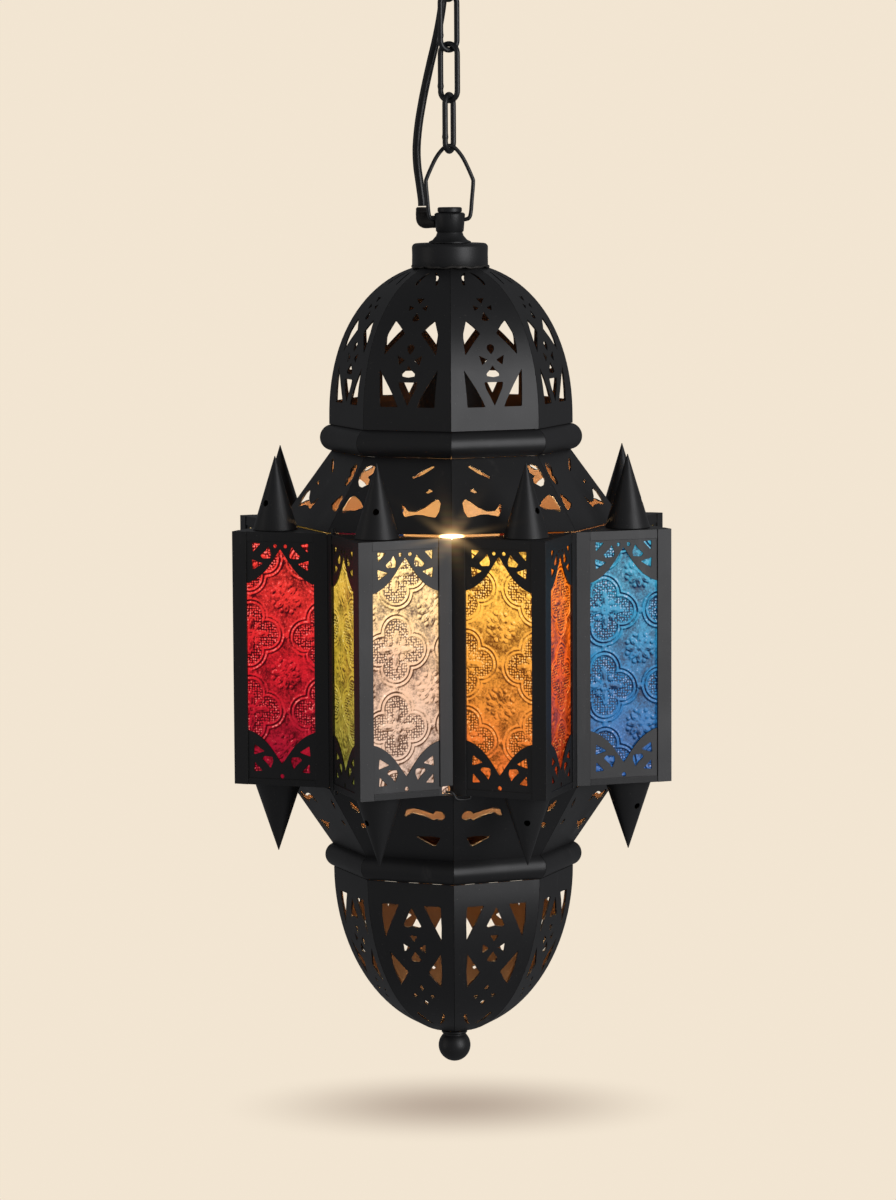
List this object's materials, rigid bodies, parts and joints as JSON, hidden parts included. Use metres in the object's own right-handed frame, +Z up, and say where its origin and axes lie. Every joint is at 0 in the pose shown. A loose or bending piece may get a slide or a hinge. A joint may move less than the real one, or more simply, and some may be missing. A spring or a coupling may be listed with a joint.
{
  "type": "pendant lantern",
  "caption": "Hanging eight-pointed star lantern in pierced black metal, with coloured pressed-glass panes, domed top and bottom, spires, a hinged door, chain, cord and ceiling canopy.",
  "frame": {"origin": "middle of the ceiling canopy's top face, where it meets the ceiling", "axes": "+Z up, -Y towards the front, where a corner of the octagon and the door's free edge are, +X to the right"},
  "size_m": [0.2586, 0.2586, 0.6896],
  "materials": {
    "black_metal": "satin black paint over sheet iron, worn a little at the edges",
    "black_plastic": "semi-gloss black sheath",
    "holder_plastic": "matt black",
    "bulb_glass": "frosted, lit warm white",
    "red_glass": "pressed pattern, glossy",
    "olive_glass": "pressed pattern, glossy",
    "clear_glass": "pressed pattern, glossy",
    "amber_glass": "pressed pattern, glossy",
    "orange_glass": "pressed pattern, glossy",
    "blue_glass": "pressed pattern, glossy"
  },
  "bodies": {
    "ceiling": {"ceiling_canopy": "black_metal", "ceiling_hook": "black_metal", "supply_cord": "black_plastic"},
    "link_1": {"chain_link_1": "black_metal"},
    "link_2": {"chain_link_2": "black_metal"},
    "link_3": {"chain_link_3": "black_metal"},
    "bail": {"hanging_bail": "black_metal"},
    "lantern": {"hanger_hub": "black_metal", "cord_gland": "black_plastic", "top_collar": "black_metal", "lampholder": "holder_plastic", "bulb": "bulb_glass", "upper_dome": "black_metal", "upper_ring": "black_metal", "upper_flare": "black_metal", "lower_flare": "black_metal", "lower_ring": "black_metal", "lower_dome": "black_metal", "finial": "black_metal", "point_case_1": "black_metal", "point_case_2": "black_metal", "point_case_3": "black_metal", "point_case_4": "black_metal", "point_case_5": "black_metal", "point_case_6": "black_metal", "point_case_7": "black_metal", "pane_03_amber": "amber_glass", "pane_04_orange": "orange_glass", "pane_05_blue": "blue_glass", "pane_06_red": "red_glass", "pane_07_olive": "olive_glass", "pane_08_clear": "clear_glass", "pane_09_amber": "amber_glass", "pane_10_orange": "orange_glass", "pane_11_blue": "blue_glass", "pane_12_red": "red_glass", "pane_13_olive": "olive_glass", "pane_14_clear": "clear_glass", "pane_15_blue": "blue_glass", "pane_16_red": "red_glass", "top_spire_2": "black_metal", "top_spire_3": "black_metal", "top_spire_4": "black_metal", "top_spire_5": "black_metal", "top_spire_6": "black_metal", "top_spire_7": "black_metal", "top_spire_8": "black_metal", "foot_spire_2": "black_metal", "foot_spire_3": "black_metal", "foot_spire_4": "black_metal", "foot_spire_5": "black_metal", "foot_spire_6": "black_metal", "foot_spire_7": "black_metal", "foot_spire_8": "black_metal"},
    "door": {"door_case": "black_metal", "pane_01_olive": "olive_glass", "pane_02_clear": "clear_glass", "top_spire_1": "black_metal", "foot_spire_1": "black_metal"},
    "latch": {"door_latch": "black_metal"}
  },
  "joints": [
    {"name": "hook_to_link_1", "type": "hinge", "parent": "ceiling", "child": "link_1", "pos_m": [0, 0, -0.04745], "axis": [0.5299, -0.848, 0], "range_deg": [-30, 30], "deforming": ["supply_cord"]},
    {"name": "link_1_to_link_2", "type": "hinge", "parent": "link_1", "child": "link_2", "pos_m": [0, 0, -0.07745], "axis": [-0.848, -0.5299, 0], "range_deg": [-30, 30]},
    {"name": "link_2_to_link_3", "type": "hinge", "parent": "link_2", "child": "link_3", "pos_m": [0, 0, -0.10745], "axis": [-0.866, 0.5, 0], "range_deg": [-30, 30]},
    {"name": "link_3_to_bail", "type": "hinge", "parent": "link_3", "child": "bail", "pos_m": [0, 0, -0.13745], "axis": [0.4226, 0.9063, 0], "range_deg": [-25, 25]},
    {"name": "bail_to_hub", "type": "hinge", "parent": "bail", "child": "lantern", "pos_m": [0, 0, -0.178], "axis": [1, 0, 0], "range_deg": [-40, 40]},
    {"name": "door_hinge", "type": "hinge", "parent": "lantern", "child": "door", "pos_m": [-0.0693, -0.07637, -0.43501], "axis": [0, 0, -1], "range_deg": [0, 105]},
    {"name": "latch_pivot", "type": "hinge", "parent": "lantern", "child": "latch", "pos_m": [0.0099, -0.1014, -0.5103], "axis": [0, 0, 1], "range_deg": [0, 80]}
  ]
}
